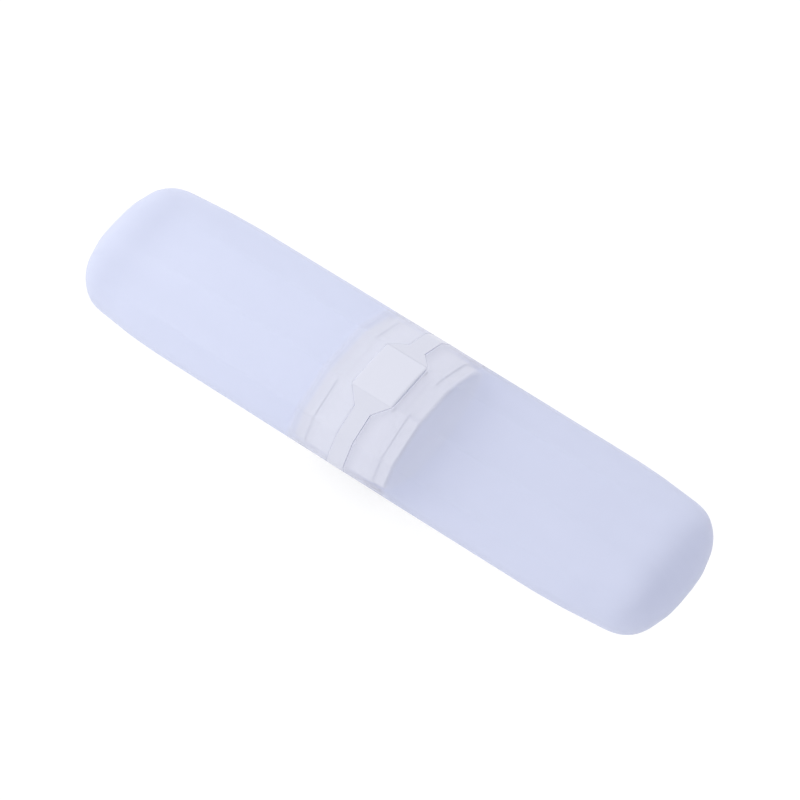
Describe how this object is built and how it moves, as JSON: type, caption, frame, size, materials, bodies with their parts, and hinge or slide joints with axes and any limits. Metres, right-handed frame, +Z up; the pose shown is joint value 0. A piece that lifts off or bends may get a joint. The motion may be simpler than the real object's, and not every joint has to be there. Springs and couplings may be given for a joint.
{
  "type": "toothbrush travel case",
  "caption": "Long faceted toothbrush travel case: two frosted half shells with domed ends plug onto a white collar with a flush belt and press pad; one half pulls off.",
  "frame": {"origin": "on the surface the case lies on, under the middle of the belt", "axes": "+X along the case towards the half that pulls off, +Z up through the press pad, +Y across"},
  "size_m": [0.1998, 0.0508, 0.0286],
  "materials": {
    "frosted_shell": "frosted, translucent, lavender tint",
    "white_collar": "satin white"
  },
  "bodies": {
    "base": {"base_shell": "frosted_shell", "collar": "white_collar"},
    "cap": {"cap_shell": "frosted_shell"},
    "latch": {"latch_tongue": "white_collar"}
  },
  "joints": [
    {"name": "cap_pull", "type": "slide", "parent": "base", "child": "cap", "axis": [1, 0, 0], "range_m": [0, 0.06]},
    {"name": "latch_press", "type": "hinge", "parent": "base", "child": "latch", "pos_m": [-0.00955, 0, 0.02555], "axis": [0, 1, 0], "range_deg": [0, 4], "stiffness_Nm_per_rad": 0.1}
  ]
}
